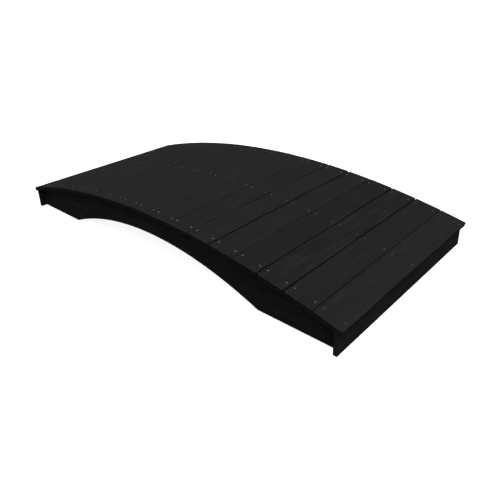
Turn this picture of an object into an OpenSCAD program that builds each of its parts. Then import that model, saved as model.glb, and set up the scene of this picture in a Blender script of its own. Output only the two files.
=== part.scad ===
// Low arched garden footbridge without rails: a curved deck of cross planks
// on arched stringers, closed at both ends by a board under the last plank.
// X runs along the walkway, Y across it and Z up. The origin is on the ground
// under the middle of the deck.

/* [Deck] */
// Number of cross planks in the deck
plank_count = 17; // [9:1:21]
// Width of one plank, along the walkway
plank_w = 142; // [90:1:190]
// Thickness of one plank
plank_t = 25; // [18:1:45]
// Length of one plank, which is the width of the bridge
plank_len = 1220; // [600:5:1800]
// Open joint between neighbouring planks at the walking surface
plank_gap = 5; // [3:0.5:12]
// Radius of the deck's arc at the walking surface
deck_r = 4660; // [4000:10:8000]

/* [Stringers] */
// Thickness of one stringer
stringer_t = 38; // [25:1:60]
// Depth of timber over the arch at the middle of a stringer
stringer_d = 125; // [80:1:150]
// Length of the flat foot at each end of a stringer
foot_len = 420; // [250:5:600]
// Outer face of the front and rear stringers in from the deck's long edges
stringer_inset = 44; // [20:1:150]

/* [End boards] */
// Thickness of an end board
end_board_t = 20; // [15:1:40]
// Height of an end board, which is the step up at each end
end_board_h = 114; // [80:1:200]
// Ends of an end board in from the deck's long edges
end_board_inset = 6; // [0:1:40]
// Overhang of the deck past the outer face of an end board
end_overhang = 23; // [10:1:60]

/* [Fit] */
// Clearance between a plank's underside and the timber that carries it
seat_clearance = 0.3; // [0.1:0.1:1]

/* [Hidden] */
stain = "#272727";
arc_facets = 720;

// The last plank's slope and the place of the deck's end edge
pitch_angle = (plank_w + plank_gap) / deck_r * 180 / PI;
end_angle = (plank_count - 1) / 2 * pitch_angle;
deck_end_x = deck_r * sin(end_angle) + plank_w / 2 * cos(end_angle);

// End boards stand back from the deck's end edge, and the stringers butt against them
end_board_x = deck_end_x - end_overhang;
end_board_len = plank_len - 2 * end_board_inset;
stringer_end_x = end_board_x - end_board_t;

// The last plank just clears the top of the end board, which sets the arc's centre height
underside_r = deck_r - plank_t;
arc_z = end_board_h + seat_clearance + end_board_x * tan(end_angle) - underside_r / cos(end_angle);

// Top curve of the stringers, and the arch that is sawn out of their underside
seat_r = underside_r - seat_clearance;
crown_z = arc_z + seat_r;
arch_rise = crown_z - stringer_d;
arch_half_span = stringer_end_x - foot_len;
arch_r = (arch_half_span * arch_half_span + arch_rise * arch_rise) / (2 * arch_rise);
outer_stringer_y = plank_len / 2 - stringer_inset - stringer_t / 2;

function two_digits(number) = number < 10 ? str("0", number) : str(number);
function plank_name(number) = str("deck_plank_", two_digits(number));

// One flat plank across the walkway, square to the arc at its middle
module deck_plank(number) {
    angle = (number - (plank_count + 1) / 2) * pitch_angle;
    color(stain)
        translate([0, 0, arc_z])
            rotate([0, angle, 0])
                translate([-plank_w / 2, -plank_len / 2, underside_r])
                    cube([plank_w, plank_len, plank_t]);
}

// Side view of a stringer: curved top, flat feet and an arched underside
module stringer_outline() {
    difference() {
        intersection() {
            translate([-stringer_end_x, 0])
                square([2 * stringer_end_x, crown_z]);
            translate([0, arc_z])
                circle(r = seat_r, $fn = arc_facets);
        }
        translate([0, arch_rise - arch_r])
            circle(r = arch_r, $fn = arc_facets);
    }
}

// One stringer, its middle plane at the given place across the bridge
module stringer(y) {
    color(stain)
        translate([0, y + stringer_t / 2, 0])
            rotate([90, 0, 0])
                linear_extrude(stringer_t)
                    stringer_outline();
}

module front_stringer() {
    stringer(-outer_stringer_y);
}

module middle_stringer() {
    stringer(0);
}

module rear_stringer() {
    stringer(outer_stringer_y);
}

// A board on edge under the overhang of the last plank, its inner face at the given place
module end_board(inner_x) {
    color(stain)
        translate([inner_x, -end_board_len / 2, 0])
            cube([end_board_t, end_board_len, end_board_h]);
}

module left_end_board() {
    end_board(-end_board_x);
}

module right_end_board() {
    end_board(stringer_end_x);
}

for (number = [1 : plank_count])
    deck_plank(number);
front_stringer();
middle_stringer();
rear_stringer();
left_end_board();
right_end_board();
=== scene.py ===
import math
import random

import bmesh
import bpy
from mathutils import Matrix, Vector


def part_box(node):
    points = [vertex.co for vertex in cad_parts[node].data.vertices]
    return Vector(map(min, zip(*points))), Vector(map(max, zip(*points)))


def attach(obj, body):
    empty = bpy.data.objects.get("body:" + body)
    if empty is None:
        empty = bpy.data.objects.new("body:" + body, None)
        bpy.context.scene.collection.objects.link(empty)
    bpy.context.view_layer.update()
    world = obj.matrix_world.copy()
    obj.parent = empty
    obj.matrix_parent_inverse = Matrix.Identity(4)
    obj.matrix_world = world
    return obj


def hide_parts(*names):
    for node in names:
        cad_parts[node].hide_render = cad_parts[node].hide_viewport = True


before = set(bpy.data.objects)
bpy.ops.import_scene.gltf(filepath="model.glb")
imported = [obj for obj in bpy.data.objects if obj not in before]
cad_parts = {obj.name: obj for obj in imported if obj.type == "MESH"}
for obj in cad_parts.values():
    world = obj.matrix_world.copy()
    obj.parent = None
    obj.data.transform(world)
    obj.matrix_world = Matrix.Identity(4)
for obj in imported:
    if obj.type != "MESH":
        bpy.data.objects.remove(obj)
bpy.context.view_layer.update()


# Stringers
# Three boards on edge carry the deck. Each is sawn from a wide pine board: the top follows the deck's
# curve, an arch is cut out of the underside, and a flat foot is left at each end. They are stained black.
metre_mm = 1000
deck_radius = 4.660
stringer_over_arch = 0.125
foot_length = 0.420
stringer_ease = 0.002
ease_segments = 3
stringer_thin_stain = 0.6
even_tone = 1
saw_facet = 0.020
sharp_angle = math.radians(35)
smooth_angle = math.radians(40)
pith_aside = 0.05
pith_along = 40
pith_depth = (0.05, 0.11)

stringer_low, stringer_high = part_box("front_stringer")
stringer_end_x = stringer_high.x
stringer_thickness = stringer_high.y - stringer_low.y
stringer_top_z = stringer_high.z
middle_plank_low, middle_plank_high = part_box("deck_plank_09")
arc_centre_z = middle_plank_high.z - deck_radius
stringer_radius = stringer_top_z - arc_centre_z
arch_rise = stringer_top_z - stringer_over_arch
arch_half_span = stringer_end_x - foot_length
arch_radius = (arch_half_span ** 2 + arch_rise ** 2) / (2 * arch_rise)

chance = random.Random(17)


def start_block(name, low, high):
    """A block between two corners, added as a cube, selected alone and with its place in its mesh."""
    bpy.ops.object.select_all(action="DESELECT")
    bpy.ops.mesh.primitive_cube_add(size=1, location=(Vector(low) + Vector(high)) / 2)
    block = bpy.context.object
    block.name = name
    block.scale = Vector(high) - Vector(low)
    bpy.ops.object.transform_apply(location=True, rotation=True, scale=True)
    return block


def start_drum(radius, centre_z, depth, y):
    """A drum lying across the bridge, faceted finely enough for a saw cut along it to look smooth."""
    bpy.ops.object.select_all(action="DESELECT")
    bpy.ops.mesh.primitive_cylinder_add(
        vertices=round(math.tau * radius / saw_facet),
        radius=radius,
        depth=depth,
        location=(0, y, centre_z),
        rotation=(math.pi / 2, 0, 0),
    )
    bpy.ops.object.transform_apply(location=True, rotation=True, scale=True)
    return bpy.context.object


def select_alone(piece):
    """Select a piece and nothing else, ready for an operator."""
    bpy.ops.object.select_all(action="DESELECT")
    piece.select_set(True)
    bpy.context.view_layer.objects.active = piece


def saw(piece, tool, operation):
    """Cut a piece with another solid, which is then removed."""
    cut = piece.modifiers.new("saw", "BOOLEAN")
    cut.object = tool
    cut.operation = operation
    cut.solver = "EXACT"
    select_alone(piece)
    bpy.ops.object.modifier_apply(modifier=cut.name)
    bpy.data.objects.remove(tool)


def ease_edges(piece, width, segments):
    """Break every sharp edge with a small round."""
    ease = piece.modifiers.new("ease", "BEVEL")
    ease.width = width
    ease.segments = segments
    ease.limit_method = "ANGLE"
    ease.angle_limit = sharp_angle
    select_alone(piece)
    bpy.ops.object.modifier_apply(modifier=ease.name)


def finish_shading(piece):
    """Smooth the rounds, with the normals of the broad faces kept as they are."""
    weigh = piece.modifiers.new("flats", "WEIGHTED_NORMAL")
    weigh.keep_sharp = True
    select_alone(piece)
    bpy.ops.object.shade_smooth_by_angle(angle=smooth_angle)
    bpy.ops.object.modifier_apply(modifier=weigh.name)


def heart_of_board():
    """Where the pith of the tree lay: beside the board, and far along the tree from any other board's."""
    side = chance.choice((-1, 1))
    aside = chance.uniform(-pith_aside, pith_aside)
    along = chance.uniform(-pith_along, pith_along)
    return (aside, along, side * chance.uniform(*pith_depth))


def mark_timber(piece, axes, heart, ease, thin_stain, tone):
    """Store on each vertex its place in the tree that the board was cut from, how rubbed its edge is, how
    much the stain thins in streaks, and how light the board is beside the others. axes are the indices of
    the directions across, along and through the board."""
    mesh = piece.data
    grain = mesh.attributes.new("grain", "FLOAT_VECTOR", "POINT")
    for vertex, place in zip(mesh.vertices, grain.data):
        place.vector = Vector([vertex.co[axis] for axis in axes]) - Vector(heart)

    # A vertex is on a rubbed edge if all the faces round it are as narrow as the round of the edge
    rubbed = [True] * len(mesh.vertices)
    for face in mesh.polygons:
        corners = [mesh.vertices[index].co for index in face.vertices]
        girth = sum((a - b).length for a, b in zip(corners, corners[1:] + corners[:1]))
        if 2 * face.area / girth > ease:
            for index in face.vertices:
                rubbed[index] = False
    wear = mesh.attributes.new("edge_wear", "FLOAT", "POINT")
    wear.data.foreach_set("value", [float(is_rubbed) for is_rubbed in rubbed])
    for attribute, value in (("thin_stain", thin_stain), ("board_tone", tone)):
        mark = mesh.attributes.new(attribute, "FLOAT", "POINT")
        mark.data.foreach_set("value", [value] * len(mesh.vertices))


def linear(hex_colour):
    """An sRGB hex colour as the linear RGBA that shader sockets take."""
    channels = [int(hex_colour[place:place + 2], 16) / 255 for place in (1, 3, 5)]
    return [c / 12.92 if c <= 0.04045 else ((c + 0.055) / 1.055) ** 2.4 for c in channels] + [1]


def add(tree, kind, links, **settings):
    """Add a node with its settings, and give each input in links a value or another node's output."""
    made = tree.nodes.new(kind)
    for name, value in settings.items():
        setattr(made, name, value)
    for name, value in links.items():
        if isinstance(value, bpy.types.NodeSocket):
            tree.links.new(value, made.inputs[name])
        else:
            made.inputs[name].default_value = value
    return made


def black_stained_pine(name, stain_deep, stain_thin, worn, end_axis, painted_side_shade, saw_mark_mm, sheen):
    """Softwood under a matt black stain. The stain soaks in unevenly, so growth rings, fibres and knots
    show faintly, the end grain drinks more and is darker, and handled edges rub paler. end_axis is the way
    the grain runs, the side share how dark a painted shade makes an upright face beside one facing up,
    saw_mark_mm the spacing of saw marks or 0 if planed, and sheen the slight gloss at a low angle."""
    material = bpy.data.materials.new(name)
    material.use_nodes = True
    tree = material.node_tree
    tree.nodes.clear()
    place = add(tree, "ShaderNodeAttribute", {}, attribute_name="grain").outputs["Vector"]
    rubbed = add(tree, "ShaderNodeAttribute", {}, attribute_name="edge_wear").outputs["Fac"]
    thinness = add(tree, "ShaderNodeAttribute", {}, attribute_name="thin_stain").outputs["Fac"]
    board_tone = add(tree, "ShaderNodeAttribute", {}, attribute_name="board_tone").outputs["Fac"]

    # Noise drawn out along the grain, by its width across and its run along the board in millimetres.
    # The fibres are drawn coarser than real ones, so that they show
    runs_mm = {"drift": (160, 900), "streak": (18, 240), "fibre": (1.8, 90), "tone": (900, 3000)}
    noise = {}
    for kind, (across_mm, along_mm) in runs_mm.items():
        per_metre = (metre_mm / across_mm, metre_mm / along_mm, metre_mm / across_mm)
        laid = add(tree, "ShaderNodeMapping", {"Vector": place, "Scale": per_metre})
        noise[kind] = add(tree, "ShaderNodeTexNoise", {"Vector": laid.outputs[0], "Scale": 1, "Detail": 3})
    streak = noise["streak"].outputs["Fac"]
    fibre = noise["fibre"].outputs["Fac"]
    noise_low, noise_high = 0.3, 0.7

    # Knots run right through the board, one at most in each patch of it. Where the radius comes out below
    # nothing the patch has no knot. Growth rings swerve round a knot, or round the place of a missing one
    patch_mm, patch_run_mm = 190, 620
    knot_least_mm, knot_most_mm, knot_edge_mm = -8, 13, 2
    swerve_mm, swerve_turn = 75, 9
    patch = add(tree, "ShaderNodeMapping", {
        "Vector": place, "Scale": (metre_mm / patch_mm, metre_mm / patch_run_mm, 0),
    })
    knots = add(tree, "ShaderNodeTexVoronoi", {"Vector": patch.outputs[0], "Scale": 1})
    offset = add(tree, "ShaderNodeVectorMath", {
        0: patch.outputs[0], 1: knots.outputs["Position"],
    }, operation="SUBTRACT")
    offset_mm = add(tree, "ShaderNodeVectorMath", {
        0: offset.outputs[0], 1: (patch_mm, patch_run_mm, 0),
    }, operation="MULTIPLY")
    from_knot_mm = add(tree, "ShaderNodeVectorMath", {0: offset_mm.outputs[0]}, operation="LENGTH")
    knot_radius_mm = add(tree, "ShaderNodeMapRange", {
        "Value": knots.outputs["Color"], "To Min": knot_least_mm, "To Max": knot_most_mm,
    })
    inside_mm = add(tree, "ShaderNodeMath", {
        0: knot_radius_mm.outputs[0], 1: from_knot_mm.outputs["Value"],
    }, operation="SUBTRACT")
    knot = add(tree, "ShaderNodeMapRange", {
        "Value": inside_mm.outputs[0], "From Min": -knot_edge_mm, "From Max": knot_edge_mm,
    }, interpolation_type="SMOOTHSTEP")
    swerve = add(tree, "ShaderNodeMapRange", {
        "Value": from_knot_mm.outputs["Value"], "From Max": swerve_mm, "To Min": swerve_turn, "To Max": 0,
    }, interpolation_type="SMOOTHSTEP")

    # Growth rings round the pith, which wanders along the tree. Each ring darkens slowly towards its late
    # wood and ends sharply. A wave texture repeats every tau / 20 at scale 1
    ring_mm, wander_mm = 7, 18
    late_from, late_full = 0.25, 0.88
    waves_per_metre = math.tau / 20 * metre_mm
    middle = add(tree, "ShaderNodeVectorMath", {
        0: noise["drift"].outputs["Color"], 1: (0.5, 0.5, 0.5),
    }, operation="SUBTRACT")
    shift = add(tree, "ShaderNodeVectorMath", {
        0: middle.outputs[0], "Scale": wander_mm / metre_mm,
    }, operation="SCALE")
    bent = add(tree, "ShaderNodeVectorMath", {0: place, 1: shift.outputs[0]}, operation="ADD")
    rings = add(tree, "ShaderNodeTexWave", {
        "Vector": bent.outputs[0], "Scale": waves_per_metre / ring_mm, "Phase Offset": swerve.outputs[0],
    }, wave_type="RINGS", rings_direction="Y", wave_profile="SAW")
    late = add(tree, "ShaderNodeValToRGB", {"Fac": rings.outputs["Fac"]})
    late.color_ramp.elements[0].position = late_from
    late.color_ramp.elements[1].position = late_full
    late.color_ramp.elements.new(1.0).color = (0, 0, 0, 1)

    # Stain: thinner in streaks, and darker or lighter by a share for each thing that it shows. A share
    # takes the low and high end of a value to its two ends of lightness
    soak_low, soak_high = 0.40, 0.66
    soak = add(tree, "ShaderNodeMapRange", {"Value": streak, "From Min": soak_low, "From Max": soak_high})
    thinned = add(tree, "ShaderNodeMath", {0: soak.outputs[0], 1: thinness}, operation="MULTIPLY")
    stain = add(tree, "ShaderNodeMix", {
        "Factor": thinned.outputs[0], "A": linear(stain_deep), "B": linear(stain_thin),
    }, data_type="RGBA")
    normal = add(tree, "ShaderNodeNewGeometry", {}).outputs["Normal"]
    facing_end = add(tree, "ShaderNodeVectorMath", {0: normal, 1: end_axis}, operation="DOT_PRODUCT")
    end_grain = add(tree, "ShaderNodeMath", {0: facing_end.outputs["Value"]}, operation="ABSOLUTE")
    facing_up = add(tree, "ShaderNodeVectorMath", {0: normal, 1: (0, 0, 1)}, operation="DOT_PRODUCT")
    shares = {
        "tone": (noise["tone"].outputs["Fac"], noise_low, noise_high, 0.95, 1.05),
        "fibre": (fibre, noise_low, noise_high, 0.91, 1.07),
        "late wood": (late.outputs["Color"], 0, 1, 1.02, 0.94),
        "knot": (knot.outputs[0], 0, 1, 1, 0.72),
        "end grain": (end_grain.outputs[0], 0.6, 0.95, 1, 0.95),
        # Painted shade: a face is painted darker as it turns from straight up, down to the side share when
        # upright
        "painted side shade": (facing_up.outputs["Value"], 0.2, 0.8, painted_side_shade, 1),
    }
    shade = board_tone
    for value, value_low, value_high, share_low, share_high in shares.values():
        share = add(tree, "ShaderNodeMapRange", {
            "Value": value, "From Min": value_low, "From Max": value_high,
            "To Min": share_low, "To Max": share_high,
        })
        shade = add(tree, "ShaderNodeMath", {
            0: share.outputs[0], 1: shade,
        }, operation="MULTIPLY").outputs[0]
    toned = add(tree, "ShaderNodeVectorMath", {
        0: stain.outputs["Result"], "Scale": shade,
    }, operation="SCALE")

    # Edges are rubbed pale in patches, where the stain is thin
    rub_low, rub_high, rub_most = 0.4, 0.75, 0.8
    rub_patches = add(tree, "ShaderNodeMapRange", {
        "Value": streak, "From Min": rub_low, "From Max": rub_high, "To Max": rub_most,
    })
    worn_by = add(tree, "ShaderNodeMath", {0: rubbed, 1: rub_patches.outputs[0]}, operation="MULTIPLY")
    colour = add(tree, "ShaderNodeMix", {
        "Factor": worn_by.outputs[0], "A": toned.outputs[0], "B": linear(worn),
    }, data_type="RGBA")

    # Relief: hard late wood stands proud of the softer early wood, with fibres and saw marks over both
    relief_mm, relief_strength = 0.35, 0.7
    late_relief, saw_relief = 0.45, 0.5
    saw_wander, saw_wander_scale = 1.5, 0.4
    height = add(tree, "ShaderNodeMath", {
        0: late.outputs["Color"], 1: late_relief, 2: fibre,
    }, operation="MULTIPLY_ADD").outputs[0]
    if saw_mark_mm:
        marks = add(tree, "ShaderNodeTexWave", {
            "Vector": place, "Scale": waves_per_metre / saw_mark_mm,
            "Distortion": saw_wander, "Detail": 1, "Detail Scale": saw_wander_scale,
        }, bands_direction="Y")
        height = add(tree, "ShaderNodeMath", {
            0: marks.outputs["Fac"], 1: saw_relief, 2: height,
        }, operation="MULTIPLY_ADD").outputs[0]
    bump = add(tree, "ShaderNodeBump", {
        "Height": height, "Strength": relief_strength, "Distance": relief_mm / metre_mm,
    })

    # Surface: matt, and a little rougher along some fibres than along others
    rough_low, rough_high = 0.76, 0.90
    rough = add(tree, "ShaderNodeMapRange", {
        "Value": fibre, "From Min": noise_low, "From Max": noise_high,
        "To Min": rough_low, "To Max": rough_high,
    })
    wood = add(tree, "ShaderNodeBsdfPrincipled", {
        "Base Color": colour.outputs["Result"], "Roughness": rough.outputs[0], "IOR": 1.5,
        "Specular IOR Level": sheen, "Normal": bump.outputs["Normal"],
    })
    add(tree, "ShaderNodeOutputMaterial", {"Surface": wood.outputs["BSDF"]})
    return material


# Sawn pine: the darkest of the three finishes, with saw marks across the grain under the stain
sawn_pine = black_stained_pine(
    "black_stained_sawn_pine",
    stain_deep="#1f1f1f",
    stain_thin="#2b2b2b",
    worn="#333231",
    end_axis=(1, 0, 0),
    painted_side_shade=1,
    saw_mark_mm=5,
    sheen=0.006,
)

for name in ("front_stringer", "middle_stringer", "rear_stringer"):
    low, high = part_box(name)
    stringer = start_block(name + "_board", low, high)
    middle_y = (low.y + high.y) / 2
    saw_reach = 2 * stringer_thickness
    saw(stringer, start_drum(stringer_radius, arc_centre_z, saw_reach, middle_y), "INTERSECT")
    saw(stringer, start_drum(arch_radius, arch_rise - arch_radius, saw_reach, middle_y), "DIFFERENCE")
    ease_edges(stringer, stringer_ease, ease_segments)
    mark_timber(stringer, (2, 0, 1), heart_of_board(), stringer_ease, stringer_thin_stain, even_tone)
    finish_shading(stringer)
    stringer.data.materials.append(sawn_pine)
    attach(stringer, "root")
    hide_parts(name)


# End boards
# A planed pine board on edge closes each end. It is fixed to the ends of the stringers, with its top just
# under the overhang of the last plank, and is stained like the rest.
end_board_ease = 0.0025
end_board_thin_stain = 0.5
# Its eased top stands this much higher than a square one, to come as near to the sloping plank over it
end_board_rise = 0.0006

# Planed pine: smoother than the stringers under the same stain, and a shade lighter
planed_pine = black_stained_pine(
    "black_stained_planed_pine",
    stain_deep="#252525",
    stain_thin="#313131",
    worn="#393837",
    end_axis=(0, 1, 0),
    painted_side_shade=1,
    saw_mark_mm=0,
    sheen=0.0015,
)

for name in ("left_end_board", "right_end_board"):
    low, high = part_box(name)
    end_board = start_block(name + "_plank", low, (high.x, high.y, high.z + end_board_rise))
    ease_edges(end_board, end_board_ease, ease_segments)
    mark_timber(end_board, (2, 1, 0), heart_of_board(), end_board_ease, end_board_thin_stain, even_tone)
    finish_shading(end_board)
    end_board.data.materials.append(planed_pine)
    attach(end_board, "root")
    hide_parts(name)


# Deck planks
# Seventeen pine decking boards lie across the stringers, square to the curve, with uneven open joints.
# Their long edges are rounded at the mill, their ends are sawn square, and each screw has its countersink.
# Some boards towards the right end are darker than the rest, and one of them has its stain thin in streaks.
plank_count = 17
plank_gap = 0.005
plank_ease = 0.0024
plank_ease_segments = 4
plank_runs = 13
end_stagger = 0.002
crook = 0.0009

# The joints from the left, and how light the darker boards towards the right end are beside the rest
joint_widths_mm = (5, 4, 4, 3.5, 3.5, 3.5, 3.5, 4, 3.5, 2.5, 5.2, 9, 2.8, 6.2, 5.5, 2.8)
darker_planks = {11: 0.96, 12: 0.95, 13: 0.93, 14: 0.86, 15: 0.82, 16: 0.90, 17: 0.97}
plank_thin_stain = 0.2
streaky_plank = 15
streaky_thin_stain = 0.5

# The screws stand in three rows over the stringers, the middle row a little to the rear of the middle
outer_row_y = 0.556
middle_row_y = 0.010
screw_rows_y = (-outer_row_y, middle_row_y, outer_row_y)
screw_from_middle = 0.052
countersink_radius = 0.0047
countersink_depth = 0.0040
drill_sides = 20

plank_length = middle_plank_high.y - middle_plank_low.y
plank_width = middle_plank_high.x - middle_plank_low.x
plank_thickness = middle_plank_high.z - middle_plank_low.z
plank_pitch = plank_width + plank_gap
crown_z = middle_plank_high.z
end_gap_mm = plank_gap * metre_mm
gaps_mm = (end_gap_mm, *joint_widths_mm, end_gap_mm)

# Planed decking: the lightest finish, with a painted shade that darkens the sides of each board
decking = black_stained_pine(
    "black_stained_decking_pine",
    stain_deep="#272727",
    stain_thin="#343434",
    worn="#3c3b3a",
    end_axis=(0, 1, 0),
    painted_side_shade=0.76,
    saw_mark_mm=0,
    sheen=0.0007,
)


def choose(piece, kind, is_wanted):
    """Open a piece in edit mode with only the vertices, edges or faces selected that are wanted."""
    bpy.ops.object.mode_set(mode="EDIT")
    bpy.ops.mesh.select_mode(type={"verts": "VERT", "edges": "EDGE", "faces": "FACE"}[kind])
    bpy.ops.mesh.select_all(action="DESELECT")
    shape = bmesh.from_edit_mesh(piece.data)
    for element in getattr(shape, kind):
        element.select_set(is_wanted(element))
    bmesh.update_edit_mesh(piece.data)


def plank_turn(number):
    """The turn about the arc's centre that takes a flat plank at the crown to its own place."""
    angle = (number - (plank_count + 1) / 2) * plank_pitch / deck_radius
    centre = Matrix.Translation((0, 0, arc_centre_z))
    return centre @ Matrix.Rotation(angle, 4, "Y") @ centre.inverted()


def join(pieces, whole):
    """Join pieces into the one of them that is to be the whole."""
    bpy.ops.object.select_all(action="DESELECT")
    for piece in pieces:
        piece.select_set(True)
    bpy.context.view_layer.objects.active = whole
    bpy.ops.object.join()


def start_countersinks():
    """The six drill points that open the screw holes of a plank at the crown, as one tool."""
    points = []
    for row_y in screw_rows_y:
        for side in (-1, 1):
            bpy.ops.object.select_all(action="DESELECT")
            bpy.ops.mesh.primitive_cone_add(
                vertices=drill_sides,
                radius1=0,
                radius2=2 * countersink_radius,
                depth=2 * countersink_depth,
                location=(side * screw_from_middle, row_y, crown_z),
            )
            points.append(bpy.context.object)
    drill = points[-1]
    join(points, drill)
    bpy.ops.object.transform_apply(location=True, rotation=True, scale=True)
    return drill


for number in range(1, plank_count + 1):
    name = f"deck_plank_{number:02d}"
    left_side = -plank_pitch / 2 + gaps_mm[number - 1] / 2 / metre_mm
    right_side = plank_pitch / 2 - gaps_mm[number] / 2 / metre_mm
    near_end = -plank_length / 2 + chance.uniform(0, end_stagger)
    far_end = plank_length / 2 - chance.uniform(0, end_stagger)
    plank = start_block(
        name + "_board",
        (left_side, near_end, crown_z - plank_thickness),
        (right_side, far_end, crown_z),
    )

    # A slight crook: the middle of the board is moved sideways, and the rest of its length follows
    choose(plank, "edges", lambda edge: abs(edge.verts[0].co.y - edge.verts[1].co.y) > plank_width)
    bpy.ops.mesh.subdivide(number_cuts=plank_runs - 1)
    choose(plank, "verts", lambda vertex: abs(vertex.co.y) < plank_length / plank_runs)
    bpy.ops.transform.translate(
        value=(chance.uniform(-crook, crook), 0, 0),
        use_proportional_edit=True,
        proportional_edit_falloff="SMOOTH",
        proportional_size=plank_length / 2,
    )
    bpy.ops.object.mode_set(mode="OBJECT")
    ease_edges(plank, plank_ease, plank_ease_segments)
    saw(plank, start_countersinks(), "DIFFERENCE")
    heart = Vector(heart_of_board()) + Vector((0, 0, crown_z))
    thin_stain = streaky_thin_stain if number == streaky_plank else plank_thin_stain
    mark_timber(plank, (0, 1, 2), heart, plank_ease, thin_stain, darker_planks.get(number, even_tone))
    plank.data.transform(plank_turn(number))
    finish_shading(plank)
    plank.data.materials.append(decking)
    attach(plank, "root")
    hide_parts(name)


# Deck screws
# Countersunk wood screws of zinc-plated steel, two in each plank over each stringer, driven a little below
# the surface. Their heads have a cross recess, and no two stopped at the same turn. A painted glint makes
# the heads paler towards the crown, and weaker on the middle row.
head_radius = 0.0043
head_depth = 0.0034
head_sides = 20
shank_share = 0.35
sunk_by = 0.00025
recess_width = 0.0011
recess_reach = 0.0026
recess_depth = 0.0020
# The painted glint: the plank where it is brightest, how many planks it fades over, how much of it is lost
# at random on the outer and on the middle rows, and its pale colour (the last zinc)
glint_top_plank = 11
glint_reach = 6
outer_row_glint_loss = (0, 0.2)
middle_row_glint_loss = (0.5, 1)
zinc_dark = "#313335"
zinc_pale = "#46484a"
zinc_glint = "#707275"
zinc_rough = (0.35, 0.6)
zinc_spot_mm = 1.5

bpy.ops.object.select_all(action="DESELECT")
bpy.ops.mesh.primitive_cone_add(
    vertices=head_sides,
    radius1=head_radius * shank_share,
    radius2=head_radius,
    depth=head_depth,
    location=(0, 0, -head_depth / 2),
)
bpy.ops.object.transform_apply(location=True, rotation=True, scale=True)
screw = bpy.context.object

# The recess is a cross, made from a square bar whose four upright faces are drawn out
recess = start_block(
    "recess",
    (-recess_width / 2, -recess_width / 2, -recess_depth),
    (recess_width / 2, recess_width / 2, recess_depth),
)
choose(recess, "faces", lambda face: abs(face.normal.z) < 0.5)
bpy.ops.mesh.extrude_faces_move(TRANSFORM_OT_shrink_fatten={"value": recess_reach - recess_width / 2})
bpy.ops.mesh.select_all(action="SELECT")
bpy.ops.mesh.normals_make_consistent(inside=False)
bpy.ops.object.mode_set(mode="OBJECT")
saw(screw, recess, "DIFFERENCE")

# Dull zinc plating: a grey metal without a mirror, mottled by weather, with a painted glint that pales some
# heads
zinc = bpy.data.materials.new("dull_zinc_plated_steel")
zinc.use_nodes = True
tree = zinc.node_tree
tree.nodes.clear()
head_place = add(tree, "ShaderNodeTexCoord", {}).outputs["Object"]
# The painted glint, stored on each screw's vertices
glint_share = add(tree, "ShaderNodeAttribute", {}, attribute_name="painted_glint").outputs["Fac"]
spots = add(tree, "ShaderNodeTexNoise", {
    "Vector": head_place, "Scale": metre_mm / zinc_spot_mm, "Detail": 3,
}).outputs["Fac"]
weathered = add(tree, "ShaderNodeMix", {
    "Factor": spots, "A": linear(zinc_dark), "B": linear(zinc_pale),
}, data_type="RGBA")
tint = add(tree, "ShaderNodeMix", {
    "Factor": glint_share, "A": weathered.outputs["Result"], "B": linear(zinc_glint),
}, data_type="RGBA")
dull = add(tree, "ShaderNodeMapRange", {
    "Value": spots, "To Min": zinc_rough[0], "To Max": zinc_rough[1],
})
steel = add(tree, "ShaderNodeBsdfPrincipled", {
    "Base Color": tint.outputs["Result"], "Metallic": 1.0, "Roughness": dull.outputs[0],
})
add(tree, "ShaderNodeOutputMaterial", {"Surface": steel.outputs["BSDF"]})
screw.data.materials.append(zinc)

screws = []
for number in range(1, plank_count + 1):
    for row_y in screw_rows_y:
        for side in (-1, 1):
            copy = screw.copy()
            copy.data = screw.data.copy()
            bpy.context.scene.collection.objects.link(copy)
            seat = Matrix.Translation((side * screw_from_middle, row_y, crown_z - sunk_by))
            turn = Matrix.Rotation(chance.uniform(0, math.pi), 4, "Z")
            copy.data.transform(plank_turn(number) @ seat @ turn)
            # Painted glint: each head is painted paler by how near its plank is to the brightest one, less
            # so on the middle row
            glint_loss = chance.uniform(*(middle_row_glint_loss if row_y == middle_row_y else outer_row_glint_loss))
            painted_glint = max(0, 1 - abs(number - glint_top_plank) / glint_reach) * (1 - glint_loss)
            mark = copy.data.attributes.new("painted_glint", "FLOAT", "POINT")
            mark.data.foreach_set("value", [painted_glint] * len(copy.data.vertices))
            screws.append(copy)
bpy.data.objects.remove(screw)
deck_screws = screws[0]
join(screws, deck_screws)
deck_screws.name = "deck_screws"
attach(deck_screws, "root")


# Studio
# A plain white floor and a white surround, with one broad soft light overhead and an even fill from all
# round. To the camera and to metal the surround is white, and the floor keeps a trace of shadow.
floor_half = 60
floor_seen = "#cbcbcb"
floor_glow = 0.90
floor_bounce = "#707070"
fill = 0.30
overhead = 0.70
overhead_spread = math.radians(100)
overhead_lean = math.radians(12)

scene = bpy.context.scene
bpy.ops.object.select_all(action="DESELECT")
bpy.ops.mesh.primitive_plane_add(size=2 * floor_half)
floor = bpy.context.object
floor.name = "studio_floor"


def seen_plainly(tree):
    """1 for what the camera sees, straight or by way of metal or glass, and 0 for bounced light."""
    path = add(tree, "ShaderNodeLightPath", {})
    seen = path.outputs["Is Camera Ray"]
    for ray in ("Is Glossy Ray", "Is Transmission Ray"):
        seen = add(tree, "ShaderNodeMath", {0: seen, 1: path.outputs[ray]}, operation="MAXIMUM").outputs[0]
    return seen


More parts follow.
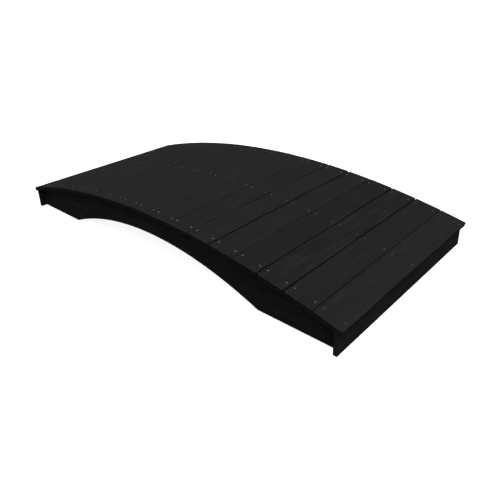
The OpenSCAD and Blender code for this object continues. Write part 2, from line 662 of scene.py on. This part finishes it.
# Matt white paper: it looks white but for a trace of shadow, and throws a weak grey light back up
paper = bpy.data.materials.new("white_studio_floor")
paper.use_nodes = True
tree = paper.node_tree
tree.nodes.clear()
bounce = add(tree, "ShaderNodeBsdfDiffuse", {"Color": linear(floor_bounce)})
white = add(tree, "ShaderNodeBsdfDiffuse", {"Color": linear(floor_seen)})
glow = add(tree, "ShaderNodeEmission", {"Strength": floor_glow})
lit = add(tree, "ShaderNodeAddShader", {0: white.outputs[0], 1: glow.outputs[0]})
ground = add(tree, "ShaderNodeMixShader", {
    0: seen_plainly(tree), 1: bounce.outputs[0], 2: lit.outputs[0],
})
add(tree, "ShaderNodeOutputMaterial", {"Surface": ground.outputs[0]})
floor.data.materials.append(paper)

world = bpy.data.worlds.new("white_surround")
scene.world = world
world.use_nodes = True
tree = world.node_tree
tree.nodes.clear()
strength = add(tree, "ShaderNodeMapRange", {"Value": seen_plainly(tree), "To Min": fill, "To Max": 1.0})
surround = add(tree, "ShaderNodeBackground", {"Color": (1, 1, 1, 1), "Strength": strength.outputs[0]})
add(tree, "ShaderNodeOutputWorld", {"Surface": surround.outputs[0]})

sky_light = bpy.data.lights.new("overhead_sky_light", "SUN")
sky_light.angle = overhead_spread
sky_light.energy = overhead * math.pi
lamp = bpy.data.objects.new("overhead_sky_light", sky_light)
lamp.rotation_euler = (0, overhead_lean, 0)
scene.collection.objects.link(lamp)

# The camera stands off the near right corner and looks down a little on the deck. Its lens axis, in pixels
# from the picture's upper left corner, lies above and to the left of the picture's middle
azimuth = math.radians(45.480)
elevation = math.radians(23.892)
roll = math.radians(-3.186)
distance = 3.099
aim = Vector((0, 0, 0.1016))
picture = 500
sensor_mm = 36
focal_pixels = 500.6
axis_pixel = (221.93, 207.39)
lens = bpy.data.cameras.new("camera")
lens.sensor_width = sensor_mm
lens.lens = focal_pixels * sensor_mm / picture
lens.shift_x = (picture / 2 - axis_pixel[0]) / picture
lens.shift_y = (axis_pixel[1] - picture / 2) / picture
lens.clip_end = 4 * floor_half
camera = bpy.data.objects.new("camera", lens)
look = Matrix.Rotation(azimuth, 4, "Z") @ Matrix.Rotation(math.pi / 2 - elevation, 4, "X")
back = look.to_3x3() @ Vector((0, 0, 1))
camera.matrix_world = Matrix.Translation(aim + distance * back) @ look @ Matrix.Rotation(roll, 4, "Z")
scene.collection.objects.link(camera)
scene.camera = camera
scene.view_settings.view_transform = "Standard"
